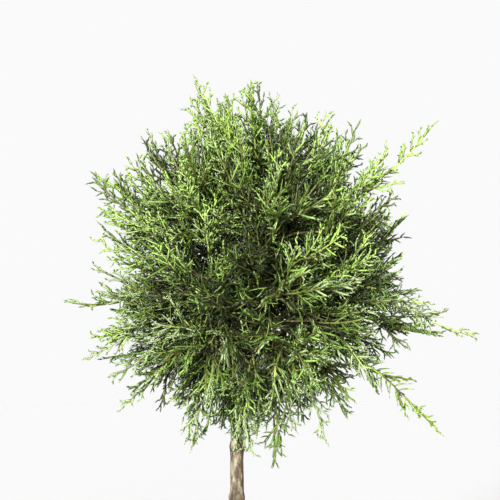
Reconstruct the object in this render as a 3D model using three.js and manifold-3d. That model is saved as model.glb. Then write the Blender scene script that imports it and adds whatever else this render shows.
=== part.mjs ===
// Potted juniper standard: a bare stem in a plain clay pot, carrying a globe of fine foliage that has
// grown out of its clipped shape into loose sprays.
// Millimetres, +Z up. The origin is the centre of the pot's flat underside, +X runs to the crown's
// widest side and +Y to its back.
//
// The crown is built as it grows. Boughs leave the top of the stem, one to each mass of foliage. In a
// mass, one woody stem carries on from its bough, twigs branch from the stem by a seeded rule, and each
// twig ends in a spray and carries more along its sides. A spray is a thin toothed blade that stands
// for a plume of whipcord branchlets.
import * as THREE from "three";
import { mergeVertices } from "three/addons/utils/BufferGeometryUtils.js";
import Module from "manifold-3d";

const wasm = await Module();
wasm.setup();

// ---------------------------------------------------------------- driving dimensions

const GAP = 0.3; // between neighbouring pieces
const GOLDEN_ANGLE = Math.PI * (3 - Math.sqrt(5));

const POT = {
  height: 210,
  baseRadius: 82,
  topRadius: 110, // of the wall's outside, carried on up behind the rim band
  rimRadius: 117,
  rimFootRadius: 113,
  rimHeight: 40,
  wall: 8,
  floor: 11,
  bevel: 3,
  sides: 24,
};
const DRAIN = { count: 4, radius: 6, circle: 44, sides: 10 };
const SOIL = {
  belowRim: 24,
  dome: 7,
  collar: 24, // radius of the flat ground round the stem
  shoulder: { out: 0.66, drop: 0.3 }, // on the mound: share of the way to the wall, share of its fall
};

const TRUNK = {
  height: 562, // from the ground to the fork
  footRadius: 9.2,
  headRadius: 6,
  flare: 8, // extra radius of the root flare at the ground
  flareHeight: 15,
  foot: -3, // where the foot stands along X
  lean: 17, // how far the fork stands to +X of the foot
  sway: 4,
  sides: 8,
  rings: 20,
};
const WHORL = { count: 6, lowest: 62, spacing: 62, swell: 1.3, length: 6 }; // old pruning scars

const GLOBE = {
  centre: new THREE.Vector3(20, 0, 776),
  radii: new THREE.Vector3(182, 178, 196),
  narrows: 0.1, // how much narrower it is at its top, as a share of its width
};

// Tiers of masses from the top down: how steeply they stand from the fork, the turn of the first one,
// and how far below the fork their boughs leave the trunk, the first one and then step by step.
const TIERS = [
  { name: "top", count: 1, elevation: 86, turn: 0, below: 0, step: 0 },
  { name: "upper", count: 5, elevation: 46, turn: 6, below: 4, step: 4 },
  { name: "middle", count: 6, elevation: -1, turn: 52, below: 28, step: 5 },
  { name: "lower", count: 5, elevation: -42, turn: 14, below: 62, step: 6 },
];
const SCATTER = { turn: 6, elevation: 5 }; // degrees either way

// Shares here run from the fork to the globe's surface.
const BOUGH = { tip: 0.34, elbow: 0.18, baseRadius: 3.7, tipRadius: 2.5, sides: 5, rings: 3 };
const STEM = { tip: 0.62, tipRadius: 1.7 };
const CORE = { middle: 0.43, radius: 40, margin: 2, ruffle: 0.2 }; // dense inner foliage of a mass

const TWIG = {
  count: 76,
  tips: [0.94, 1.04], // from the globe's centre, as shares of its radii
  along: [0.08, 0.96], // the stretch of the stem that twigs leave
  baseRadius: 1.7,
  tipRadius: 1.1,
};
const SPRAY = {
  length: 78,
  thickness: 2.6,
  sunk: 1.2,
  lengths: [0.88, 1.12], // by twig, as shares
  sideLengths: [0.8, 1.05],
  within: 0.9, // share of the last spray that lies short of the twig's goal
  along: [0.3, 0.92], // the stretch of the twig that carries side sprays
  lean: [36, 54], // degrees between a side spray and its twig
  outward: { last: 0.4, side: 0.25 }, // how far sprays turn to face out of the crown
  low: -0.45, // height in the globe, as a share of its half, below which sprays hang
  droop: 0.15,
  rolls: 8,
  shorter: [1, 0.84, 0.7],
};
const FAN = { fingers: 7, spread: 50, shortest: 0.45, notch: 0.55, thickestAt: 0.12 };

// Kinds of twig: how its side sprays shorten to its tip, and how far its sprays turn up to the light.
const ORDINARY = { rings: 1, side: 2, scale: 1, slims: 1, rise: [0.1, 0.5] };
const LEADER = { rings: 2, side: 5, scale: 0.85, slims: 0.55, rise: [-0.1, 0.15] };
const BOW = 0.12; // how high an ordinary twig bows, as a share of its length

// Shoots that have outgrown the globe: turn round the stem, angle above the level, distance of the
// tip from the globe's centre, and how far the shoot bows up (+) or down (-) on the way.
const LEADERS = [
  { turn: 0, elevation: 36, reach: 262, bow: -0.02 },
  { turn: -4, elevation: -16, reach: 282, bow: 0.18 },
  { turn: 4, elevation: -40, reach: 290, bow: 0.26 },
  { turn: 12, elevation: -82, reach: 240, bow: 0.04 },
  { turn: 176, elevation: 31, reach: 214, bow: -0.08 },
  { turn: 184, elevation: -13, reach: 222, bow: 0.1 },
  { turn: 172, elevation: -27, reach: 228, bow: 0.12 },
  { turn: 190, elevation: -46, reach: 230, bow: 0.1 },
  { turn: 184, elevation: -68, reach: 232, bow: 0.08 },
  { turn: -8, elevation: -64, reach: 220, bow: 0.08 },
  { turn: 0, elevation: -55, reach: 218, bow: 0.1 },
  { turn: 178, elevation: 75, reach: 216, bow: 0 },
  { turn: 70, elevation: 28, reach: 224, bow: -0.05 },
  { turn: 118, elevation: -22, reach: 236, bow: 0.12 },
  { turn: 240, elevation: 38, reach: 220, bow: -0.05 },
  { turn: 292, elevation: -34, reach: 230, bow: 0.12 },
];

// ---------------------------------------------------------------- helpers

const radians = THREE.MathUtils.degToRad;
const mix = THREE.MathUtils.lerp;

// One seeded stream of numbers between 0 and 1 (a Lehmer generator), so the crown is always the same.
function seeded(seed) {
  let state = seed;
  return () => {
    state = (state * 48271) % 2147483647;
    return state / 2147483647;
  };
}
const random = seeded(24);
const between = (low, high) => mix(low, high, random());

function direction(turn, elevation) {
  const level = Math.cos(radians(elevation));
  return new THREE.Vector3(
    level * Math.cos(radians(turn)),
    level * Math.sin(radians(turn)),
    Math.sin(radians(elevation)),
  );
}

// A unit vector square to the given one.
function squareTo(axis) {
  const other = Math.abs(axis.z) < 0.8 ? new THREE.Vector3(0, 0, 1) : new THREE.Vector3(1, 0, 0);
  return other.cross(axis).normalize();
}

// The closed solid of a geometry, with its seams merged.
function solidOf(geometry) {
  const bare = new THREE.BufferGeometry();
  bare.setAttribute("position", geometry.getAttribute("position"));
  bare.setIndex(geometry.index);
  const merged = mergeVertices(bare, 1e-4);
  return new wasm.Manifold(
    new wasm.Mesh({
      numProp: 3,
      vertProperties: merged.getAttribute("position").array,
      triVerts: new Uint32Array(merged.index.array),
    }),
  );
}

function geometryOf(solid) {
  const mesh = solid.getMesh();
  const positions = new Float32Array(mesh.numVert * 3);
  for (let i = 0; i < mesh.numVert; i++)
    positions.set(mesh.vertProperties.subarray(i * mesh.numProp, i * mesh.numProp + 3), i * 3);
  const geometry = new THREE.BufferGeometry();
  geometry.setAttribute("position", new THREE.BufferAttribute(positions, 3));
  geometry.setIndex(new THREE.BufferAttribute(mesh.triVerts, 1));
  geometry.computeVertexNormals();
  return geometry;
}

const joined = (solids) => solids.reduce((sum, solid) => sum.add(solid));

// The largest body of a solid: a loose scrap is dropped, and a hollow that fusing sealed is filled.
function largestBody(solid) {
  return solid.decompose().reduce((best, body) => (body.volume() > best.volume() ? body : best));
}

// Moves every vertex of a geometry to where place(vertex) says.
function reshaped(geometry, place) {
  const position = geometry.getAttribute("position");
  const vertex = new THREE.Vector3();
  for (let i = 0; i < position.count; i++) {
    const moved = place(vertex.fromBufferAttribute(position, i));
    position.setXYZ(i, moved.x, moved.y, moved.z);
  }
  return geometry;
}

// A round tapering limb along a curve, from a cylinder whose rings are moved on to the curve. It can
// reach a little past the curve's ends.
function limb(curve, radiusAt, sides, rings, past = 0) {
  const chord = curve.getPoint(1).sub(curve.getPoint(0));
  const bend = curve.getPoint(0.5).sub(curve.getPoint(0)).cross(chord);
  const straight = bend.length() < 1e-3 * chord.lengthSq();
  const reference = straight ? squareTo(chord.normalize()) : bend.normalize();
  return reshaped(new THREE.CylinderGeometry(1, 1, 1, sides, rings), (v) => {
    const along = v.y + 0.5;
    const tangent = curve.getTangent(along);
    const across = reference.clone().cross(tangent).normalize();
    const normal = tangent.clone().cross(across);
    return curve
      .getPoint(along)
      .addScaledVector(tangent, past * Math.trunc(2 * along - 1))
      .addScaledVector(normal, v.x * radiusAt(along))
      .addScaledVector(normal.cross(tangent), v.z * radiusAt(along));
  });
}

// ---------------------------------------------------------------- pot and soil

const soilTop = POT.height - SOIL.belowRim;
const wallRadius = (z) => mix(POT.baseRadius, POT.topRadius, z / POT.height);
const innerRadius = (z) => wallRadius(z) - POT.wall;

// Turns a profile of [radius, height] round the Z axis.
function turned(profile) {
  const points = profile.map(([radius, height]) => new THREE.Vector2(radius, height));
  return new THREE.LatheGeometry(points, POT.sides).rotateX(Math.PI / 2);
}

function potSolid() {
  const bandFoot = POT.height - POT.rimHeight;
  const bowl = turned([
    [0, 0],
    [POT.baseRadius - POT.bevel, 0],
    [wallRadius(POT.bevel), POT.bevel],
    [wallRadius(bandFoot), bandFoot],
    [POT.rimFootRadius - POT.bevel, bandFoot],
    [POT.rimFootRadius, bandFoot + POT.bevel],
    [POT.rimRadius, POT.height - POT.bevel],
    [POT.rimRadius - POT.bevel, POT.height],
    [innerRadius(POT.height) + POT.bevel, POT.height],
    [innerRadius(POT.height - POT.bevel), POT.height - POT.bevel],
    [innerRadius(POT.floor), POT.floor],
    [0, POT.floor],
  ]);
  const length = 3 * POT.floor;
  const drains = Array.from({ length: DRAIN.count }, (_, i) => {
    const angle = (2 * Math.PI * (i + 0.5)) / DRAIN.count;
    const drill = new THREE.CylinderGeometry(DRAIN.radius, DRAIN.radius, length, DRAIN.sides);
    drill.rotateX(Math.PI / 2);
    drill.translate(DRAIN.circle * Math.cos(angle), DRAIN.circle * Math.sin(angle), 0);
    return solidOf(drill);
  });
  return solidOf(bowl).subtract(joined(drains));
}

// Compost that fills the pot: flat round the stem, a little mounded, and lower again at the wall.
function soilSolid() {
  const edge = innerRadius(soilTop - SOIL.dome) - GAP;
  const bottom = POT.floor + GAP;
  return solidOf(
    turned([
      [0, bottom],
      [innerRadius(bottom) - GAP, bottom],
      [edge, soilTop - SOIL.dome],
      [mix(SOIL.collar, edge, SOIL.shoulder.out), soilTop - SOIL.shoulder.drop * SOIL.dome],
      [SOIL.collar, soilTop],
      [0, soilTop],
    ]),
  );
}

// ---------------------------------------------------------------- trunk

const ground = soilTop + GAP;

// The trunk's middle at a share of its height: it sways a little, and leans to +X near the head.
function trunkPoint(share) {
  return new THREE.Vector3(
    TRUNK.foot + TRUNK.lean * share ** 3 + TRUNK.sway * Math.sin(2 * Math.PI * share),
    0.6 * TRUNK.sway * Math.sin(1.3 * Math.PI * share),
    ground + TRUNK.height * share,
  );
}

function trunkRadius(share) {
  const height = TRUNK.height * share;
  let radius = mix(TRUNK.footRadius, TRUNK.headRadius, share);
  radius += TRUNK.flare * Math.exp(-height / TRUNK.flareHeight);
  for (let i = 0; i < WHORL.count; i++) {
    const away = (height - WHORL.lowest - i * WHORL.spacing) / WHORL.length;
    radius += WHORL.swell * Math.exp(-away * away);
  }
  return radius;
}

function trunkSolid(extra = 0) {
  const tube = new THREE.CylinderGeometry(1, 1, 1, TRUNK.sides, TRUNK.rings).rotateX(Math.PI / 2);
  return solidOf(
    reshaped(tube, (v) => {
      const share = v.z + 0.5;
      const radius = trunkRadius(share) + extra;
      const end = extra * (2 * share - 1);
      return trunkPoint(share).add(new THREE.Vector3(v.x * radius, v.y * radius, end));
    }),
  );
}

const hub = trunkPoint(1); // the fork, where the masses' spaces meet

// ---------------------------------------------------------------- the crown's growth

// Distance from the hub to the globe's surface along a unit direction.
function reachAlong(towards) {
  const from = hub.clone().sub(GLOBE.centre).divide(GLOBE.radii);
  const step = towards.clone().divide(GLOBE.radii);
  const a = step.dot(step);
  const b = from.dot(step);
  const c = from.dot(from) - 1;
  return (Math.sqrt(b * b - a * c) - b) / a;
}

const fromHub = (towards, distance) => hub.clone().addScaledVector(towards, distance);

// The masses: the direction each one fills, its bough, and the woody stem that carries on from it.
function growMasses() {
  const masses = [];
  for (const tier of TIERS) {
    for (let i = 0; i < tier.count; i++) {
      const turn = tier.turn + (360 * i) / tier.count + between(-SCATTER.turn, SCATTER.turn);
      const elevation = tier.elevation + between(-SCATTER.elevation, SCATTER.elevation);
      const towards = direction(turn, elevation);
      const reach = reachAlong(towards);
      const drop = tier.below + tier.step * ((2 * i) % tier.count);
      const root = trunkPoint(1 - drop / TRUNK.height);
      const elbow = fromHub(towards, BOUGH.elbow * reach);
      const tip = fromHub(towards, BOUGH.tip * reach);
      const stemStart = fromHub(towards, BOUGH.tip * reach + GAP);
      masses.push({
        name: tier.count > 1 ? `${tier.name}_${i + 1}` : tier.name,
        towards,
        reach,
        bough: new THREE.QuadraticBezierCurve3(root, elbow, tip),
        stem: new THREE.LineCurve3(stemStart, fromHub(towards, STEM.tip * reach)),
        twigs: [],
      });
    }
  }
  return masses;
}

const masses = growMasses();

function massTowards(point) {
  const away = point.clone().sub(hub).normalize();
  return masses.reduce((best, m) => (m.towards.dot(away) > best.towards.dot(away) ? m : best));
}

// Each mass keeps to the cone of directions that are nearer to its own than to any neighbour's. The
// cone's walls are planes through the hub, each given by its unit vector into the cone.
for (const mass of masses)
  mass.walls = masses
    .filter((other) => other !== mass)
    .map((other) => mass.towards.clone().sub(other.towards).normalize());

const MARGIN = 0.5; // between a mass and each wall
const insideSpace = (mass, points) =>
  points.every((point) => mass.walls.every((wall) => point.clone().sub(hub).dot(wall) > MARGIN));

// Where a twig that ends at a point leaves its mass's stem: at about 45 degrees, where it can.
function twigStart(stem, end) {
  const axis = stem.v2.clone().sub(stem.v1);
  const length = axis.length();
  axis.normalize();
  const beside = end.clone().sub(stem.v1).dot(axis);
  const aside = end.clone().sub(stem.v1).addScaledVector(axis, -beside).length();
  const [low, high] = TWIG.along;
  const along = THREE.MathUtils.clamp(beside - aside, low * length, high * length);
  return stem.v1.clone().addScaledVector(axis, along);
}

// A spray's direction, turned up towards the light, or down a little near the globe's foot.
function lifted(towards, start, rise) {
  const height = (start.z - GLOBE.centre.z) / GLOBE.radii.z;
  const up = between(...rise);
  towards.z += height > SPRAY.low ? up : -SPRAY.droop;
  return towards.normalize();
}

// A twig from a mass's stem towards a goal near the globe's surface, with its sprays.
function growTwig(mass, goal, kind, bow) {
  const outward = goal.clone().sub(hub).normalize();
  const length = SPRAY.length * kind.scale * between(...SPRAY.lengths);
  const end = goal.clone().addScaledVector(outward, -SPRAY.within * length);
  const start = twigStart(mass.stem, end);
  const middle = start.clone().lerp(end, 0.5);
  middle.z += bow * start.distanceTo(end);
  const curve = new THREE.QuadraticBezierCurve3(start, middle, end);
  const last = curve.getTangent(1).lerp(outward, SPRAY.outward.last).normalize();
  const sprays = [{ at: 1, towards: lifted(last, end, kind.rise), length }];
  const spin = between(0, 2 * Math.PI);
  for (let i = 0; i < kind.side; i++) {
    const share = i / (kind.side - 1);
    const at = mix(...SPRAY.along, share);
    const tangent = curve.getTangent(at);
    const lean = radians(between(...SPRAY.lean));
    const hinge = squareTo(tangent).applyAxisAngle(tangent, spin + i * GOLDEN_ANGLE);
    const towards = tangent.clone().applyAxisAngle(hinge, lean);
    towards.lerp(outward, SPRAY.outward.side).normalize();
    lifted(towards, curve.getPoint(at), kind.rise);
    const shorter = mix(1, kind.slims, share) * between(...SPRAY.sideLengths);
    sprays.push({ at, towards, length: length * shorter });
  }
  for (const spray of sprays) spray.roll = between(0, Math.PI);
  mass.twigs.push({ curve, rings: kind.rings, sprays });
}

// Twigs are spread evenly over the globe, and the leaders are set among them.
function growTwigs() {
  for (let i = 0; i < TWIG.count; i++) {
    const height = 1 - (2 * i + 1) / TWIG.count;
    const level = Math.sqrt(1 - height * height) * (1 - GLOBE.narrows * Math.max(height, 0));
    const turn = i * GOLDEN_ANGLE;
    const goal = new THREE.Vector3(level * Math.cos(turn), level * Math.sin(turn), height);
    goal.multiply(GLOBE.radii).multiplyScalar(between(...TWIG.tips)).add(GLOBE.centre);
    growTwig(massTowards(goal), goal, ORDINARY, BOW);
  }
  for (const { turn, elevation, reach, bow } of LEADERS) {
    const goal = direction(turn, elevation).multiplyScalar(reach).add(GLOBE.centre);
    growTwig(massTowards(goal), goal, LEADER, bow);
  }
}
growTwigs();

// ---------------------------------------------------------------- solids of the crown

// Where a spray's rim runs at one of its steps, as [along, aside] shares of its length. Step 0 is the
// root, odd steps are finger tips and even steps are the notches between them.
function fanPoint(step) {
  if (step === 0) return [0, 0];
  const offCentre = step / FAN.fingers - 1;
  const reach = mix(1, FAN.shortest, Math.abs(offCentre)) * (step % 2 ? 1 : FAN.notch);
  const angle = radians(FAN.spread) * offCentre;
  return [reach * Math.cos(angle), reach * Math.sin(angle)];
}

// A spray: a sphere of one ring between two poles, flattened to a thin fan of pointed fingers.
function sprayGeometry(root, towards, roll, length) {
  const across = squareTo(towards).applyAxisAngle(towards, roll);
  const up = across.clone().cross(towards);
  const steps = 2 * FAN.fingers;
  return reshaped(new THREE.SphereGeometry(1, steps, 2), (v) => {
    const pole = Math.abs(v.y) > 0.5;
    const turns = Math.atan2(v.z, v.x) / (2 * Math.PI);
    const step = Math.round((turns + 1) * steps) % steps;
    const [along, aside] = pole ? [FAN.thickestAt, 0] : fanPoint(step);
    return root
      .clone()
      .addScaledVector(towards, along * length - SPRAY.sunk)
      .addScaledVector(across, aside * length)
      .addScaledVector(up, pole ? v.y * 0.5 * SPRAY.thickness : 0);
  });
}

function pointsOf(geometry) {
  const position = geometry.getAttribute("position");
  const point = (_, i) => new THREE.Vector3().fromBufferAttribute(position, i);
  return Array.from({ length: position.count }, point);
}

// A spray's solid, turned or shortened until it stays in its mass's space and touches nothing but its
// own twig and the core, or null if no such way is found.
function fittedSpray(mass, twig, spray, taken) {
  const root = twig.curve.getPoint(spray.at);
  for (const share of SPRAY.shorter) {
    for (let turn = 0; turn < SPRAY.rolls; turn++) {
      const roll = spray.roll + (turn * Math.PI) / SPRAY.rolls;
      const geometry = sprayGeometry(root, spray.towards, roll, spray.length * share);
      if (!insideSpace(mass, pointsOf(geometry))) continue;
      const solid = solidOf(geometry);
      if (taken.every((other) => other.intersect(solid).isEmpty())) return solid;
    }
  }
  return null;
}

// A mass's core: a ruffled ball, pulled in where it would leave the mass's space.
function coreSolid({ towards, reach, walls }) {
  const middle = fromHub(towards, CORE.middle * reach);
  const clearance = (wall) => middle.clone().sub(hub).dot(wall) - CORE.margin;
  const ball = new THREE.OctahedronGeometry(1, 1);
  return solidOf(
    reshaped(ball, (v) => {
      const ruffle = CORE.ruffle * Math.sin(7 * v.x + 5 * v.y) * Math.cos(6 * v.z - 4 * v.y);
      const facing = walls.filter((wall) => wall.dot(v) < 0);
      const limits = facing.map((wall) => clearance(wall) / -wall.dot(v));
      return middle.clone().addScaledVector(v, Math.min(CORE.radius * (1 + ruffle), ...limits));
    }),
  );
}

// A twig is kept if it stays in its mass's space and clear of every limb.
function twigSolids(mass, limbs) {
  const radiusAt = (along) => mix(TWIG.baseRadius, TWIG.tipRadius, along);
  return mass.twigs
    .map((twig) => ({ twig, geometry: limb(twig.curve, radiusAt, 3, twig.rings) }))
    .filter(({ geometry }) => insideSpace(mass, pointsOf(geometry)))
    .map(({ twig, geometry }) => ({ twig, wood: solidOf(geometry) }))
    .filter(({ wood }) => limbs.intersect(wood).isEmpty());
}

function massSolid(mass, limbs) {
  const radiusAt = (along) => mix(BOUGH.tipRadius, STEM.tipRadius, along);
  const stem = solidOf(limb(mass.stem, radiusAt, BOUGH.sides, 1));
  const twigs = twigSolids(mass, limbs);
  const sprays = [];
  for (const { twig, wood } of twigs) {
    const others = twigs.filter((other) => other.wood !== wood).map((other) => other.wood);
    for (const spray of twig.sprays) {
      const blade = fittedSpray(mass, twig, spray, [limbs, ...others, ...sprays]);
      if (blade) sprays.push(blade);
    }
  }
  const inner = stem.add(coreSolid(mass)).subtract(limbs);
  return largestBody(joined([inner, ...twigs.map(({ wood }) => wood), ...sprays]));
}

// ---------------------------------------------------------------- assembly

const material = (color, roughness, metalness = 0) =>
  new THREE.MeshStandardMaterial({ color, roughness, metalness });
const CLAY = material(0xb4714d, 0.85);
const COMPOST = material(0x3a2a1e, 1);
const BARK = material(0xa89874, 0.9);
const TWIG_BARK = material(0x7a5c42, 0.9);
const FOLIAGE = material(0x5f7f3c, 0.7);

const plant = new THREE.Group();

function addNode(name, solid, finish) {
  const mesh = new THREE.Mesh(geometryOf(solid), finish);
  mesh.name = name;
  plant.add(mesh);
}

addNode("pot", potSolid(), CLAY);
addNode("soil", soilSolid(), COMPOST);
addNode("trunk", trunkSolid(), BARK);

// Each bough is cut clear of the trunk and of the boughs before it.
function boughSolid(mass, extra = 0) {
  const radiusAt = (along) => mix(BOUGH.baseRadius, BOUGH.tipRadius, along) + extra;
  return solidOf(limb(mass.bough, radiusAt, BOUGH.sides, BOUGH.rings, extra));
}
let limbSpace = trunkSolid(GAP);
for (const mass of masses) {
  addNode(`bough_${mass.name}`, largestBody(boughSolid(mass).subtract(limbSpace)), TWIG_BARK);
  limbSpace = limbSpace.add(boughSolid(mass, GAP));
}
for (const mass of masses) addNode(`foliage_${mass.name}`, massSolid(mass, limbSpace), FOLIAGE);

export default plant;
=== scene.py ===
"""Dresses the potted juniper standard: bark, twigs, whipcord foliage, clay pot and compost.

The crown grows on from the model's limbs by the same rule and the same seeded stream of numbers as the
model: boughs, stems, twigs and sprays come out where the model has them. Each spray is then carried
on to a plume of whipcord branchlets, and further twigs fill the crown within the same reach.
Metres, +Z up, origin at the centre of the pot's underside.
"""
import math
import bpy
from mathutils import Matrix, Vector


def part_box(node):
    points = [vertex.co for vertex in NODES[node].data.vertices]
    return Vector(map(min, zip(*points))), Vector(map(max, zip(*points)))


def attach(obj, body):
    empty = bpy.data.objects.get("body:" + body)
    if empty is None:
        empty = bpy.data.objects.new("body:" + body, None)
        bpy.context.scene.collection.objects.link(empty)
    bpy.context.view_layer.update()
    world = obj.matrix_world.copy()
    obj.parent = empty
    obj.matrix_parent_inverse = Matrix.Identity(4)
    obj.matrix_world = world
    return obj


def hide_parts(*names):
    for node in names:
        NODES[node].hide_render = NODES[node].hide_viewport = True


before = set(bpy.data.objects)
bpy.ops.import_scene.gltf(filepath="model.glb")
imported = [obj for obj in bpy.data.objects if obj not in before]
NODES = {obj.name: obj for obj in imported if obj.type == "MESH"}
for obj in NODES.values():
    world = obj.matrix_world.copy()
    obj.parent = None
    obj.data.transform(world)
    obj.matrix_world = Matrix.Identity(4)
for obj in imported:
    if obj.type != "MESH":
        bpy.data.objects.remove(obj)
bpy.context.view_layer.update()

from types import SimpleNamespace as Named

import bmesh
import bpy
import numpy as np
from mathutils import Matrix, Vector

# ---------------- sizes that the model gives


def corners(node):
    low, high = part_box(node)
    return np.array(low), np.array(high)


POT_HIGH = corners("pot")[1]
SOIL_LOW, SOIL_HIGH = corners("soil")
TRUNK_LOW, TRUNK_HIGH = corners("trunk")

# ---------------- the model's growth rule

SEED = 24
GAP = 0.0003
GOLDEN_ANGLE = math.pi * (3 - math.sqrt(5))
NEARLY_UPRIGHT = 0.8

GROUND = TRUNK_LOW[2]
TRUNK = Named(
    height=TRUNK_HIGH[2] - TRUNK_LOW[2], foot_radius=0.0092, head_radius=0.006,
    flare=0.008, flare_height=0.015, foot=-0.003, lean=0.017,
    sway=0.004, sway_back=0.0024, bends_back=1.3,
)
WHORL = Named(count=6, lowest=0.062, spacing=0.062, swell=0.0013, length=0.006)
GLOBE_CENTRE = np.array((0.020, 0.0, 0.776))
GLOBE_RADII = np.array((0.182, 0.178, 0.196))
NARROWS = 0.10  # how much narrower the globe is at its top, as a share of its width

# Tiers: count, elevation, turn of the first, drop of the boughs' roots below the fork, its step.
TIERS = [
    (1, 86, 0, 0.0, 0.0),
    (5, 46, 6, 0.004, 0.004),
    (6, -1, 52, 0.028, 0.005),
    (5, -42, 14, 0.062, 0.006),
]
SCATTER_TURN, SCATTER_ELEVATION = 6, 5
BOUGH = Named(tip=0.34, elbow=0.18, base_radius=0.0037, tip_radius=0.0025)
STEM = Named(tip=0.62, tip_radius=0.0017)
TWIG = Named(count=76, tips=(0.94, 1.04), along=(0.08, 0.96), base_radius=0.0017, tip_radius=0.0011)
SPRAY = Named(
    length=0.078, lengths=(0.88, 1.12), side_lengths=(0.8, 1.05), within=0.9,
    along=(0.3, 0.92), lean=(36, 54), outward_last=0.4, outward_side=0.25,
    low=-0.45, droop=0.15,
)
ORDINARY = Named(side=2, scale=1.0, slims=1.0, rise=(0.1, 0.5), width=1.0)
LEADER = Named(side=5, scale=0.85, slims=0.55, rise=(-0.1, 0.15), width=0.9)
BOW = 0.12
# Leaders: turn, elevation, reach of the tip from the globe's centre, bow.
LEADERS = [
    (0, 36, 0.262, -0.02), (-4, -16, 0.282, 0.18), (4, -40, 0.290, 0.26), (12, -82, 0.240, 0.04),
    (176, 31, 0.214, -0.08), (184, -13, 0.222, 0.1), (172, -27, 0.228, 0.12), (190, -46, 0.230, 0.1),
    (184, -68, 0.232, 0.08), (-8, -64, 0.220, 0.08), (0, -55, 0.218, 0.1), (178, 75, 0.216, 0),
    (70, 28, 0.224, -0.05), (118, -22, 0.236, 0.12), (240, 38, 0.220, -0.05), (292, -34, 0.230, 0.12),
]


class Stream:
    """One seeded stream of numbers between 0 and 1 (a Lehmer generator)."""

    def __init__(self, seed):
        self.state = seed

    def between(self, low, high):
        self.state = self.state * 48271 % 2147483647
        return low + (high - low) * self.state / 2147483647


stream = Stream(SEED)


def unit(v):
    return v / np.linalg.norm(v, axis=-1, keepdims=True)


def direction(turn, elevation):
    turn, elevation = math.radians(turn), math.radians(elevation)
    level = math.cos(elevation)
    return np.array((level * math.cos(turn), level * math.sin(turn), math.sin(elevation)))


def square_to(axis):
    """A unit vector square to each given one."""
    upright = np.abs(axis[..., 2:3]) >= NEARLY_UPRIGHT
    other = np.where(upright, np.array((1.0, 0, 0)), np.array((0, 0, 1.0)))
    return unit(np.cross(other, axis))


def spun(v, axis, angle):
    """v turned about a unit axis (Rodrigues' formula)."""
    c, s = np.cos(angle)[..., None], np.sin(angle)[..., None]
    along = np.sum(axis * v, axis=-1, keepdims=True)
    return v * c + np.cross(axis, v) * s + axis * along * (1 - c)


def trunk_point(share):
    share = np.asarray(share, float)
    return np.stack((
        TRUNK.foot + TRUNK.lean * share**3 + TRUNK.sway * np.sin(2 * math.pi * share),
        TRUNK.sway_back * np.sin(TRUNK.bends_back * math.pi * share),
        GROUND + TRUNK.height * share,
    ), axis=-1)


def trunk_radius(share):
    height = TRUNK.height * share
    radius = TRUNK.foot_radius + (TRUNK.head_radius - TRUNK.foot_radius) * share
    radius = radius + TRUNK.flare * np.exp(-height / TRUNK.flare_height)
    for i in range(WHORL.count):
        away = (height - WHORL.lowest - i * WHORL.spacing) / WHORL.length
        radius = radius + WHORL.swell * np.exp(-away * away)
    return radius


HUB = trunk_point(1)


def reach_along(towards):
    start = (HUB - GLOBE_CENTRE) / GLOBE_RADII
    step = towards / GLOBE_RADII
    a, b, c = step @ step, start @ step, start @ start - 1
    return (math.sqrt(b * b - a * c) - b) / a


def bezier(a, b, c, t):
    t = np.asarray(t, float)[..., None]
    return a * (1 - t) ** 2 + 2 * b * t * (1 - t) + c * t * t


def bezier_tangent(a, b, c, t):
    return unit(2 * (1 - t) * (b - a) + 2 * t * (c - b))


def grow_masses():
    masses = []
    for count, elevation, first_turn, below, step in TIERS:
        for i in range(count):
            turn = first_turn + 360 * i / count + stream.between(-SCATTER_TURN, SCATTER_TURN)
            towards = direction(turn, elevation + stream.between(-SCATTER_ELEVATION, SCATTER_ELEVATION))
            reach = reach_along(towards)
            drop = below + step * ((2 * i) % count)
            masses.append(Named(
                towards=towards,
                root=trunk_point(1 - drop / TRUNK.height),
                elbow=HUB + towards * BOUGH.elbow * reach,
                tip=HUB + towards * BOUGH.tip * reach,
                stem=(HUB + towards * (BOUGH.tip * reach + GAP), HUB + towards * STEM.tip * reach),
            ))
    return masses


MASSES = grow_masses()


def mass_towards(point):
    away = point - HUB
    return max(MASSES, key=lambda mass: mass.towards @ away)


def twig_start(stem, end):
    axis = stem[1] - stem[0]
    length = np.linalg.norm(axis)
    axis = axis / length
    beside = (end - stem[0]) @ axis
    aside = np.linalg.norm(end - stem[0] - axis * beside)
    low, high = TWIG.along
    return stem[0] + axis * min(max(beside - aside, low * length), high * length)


def lifted(towards, start, kind):
    """Sprays above the globe's foot turn up towards the light; those below hang a little."""
    height = (start[2] - GLOBE_CENTRE[2]) / GLOBE_RADII[2]
    rise = stream.between(*kind.rise)
    lift = rise if height > SPRAY.low else -SPRAY.droop
    return unit(towards + np.array((0, 0, lift)))


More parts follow.
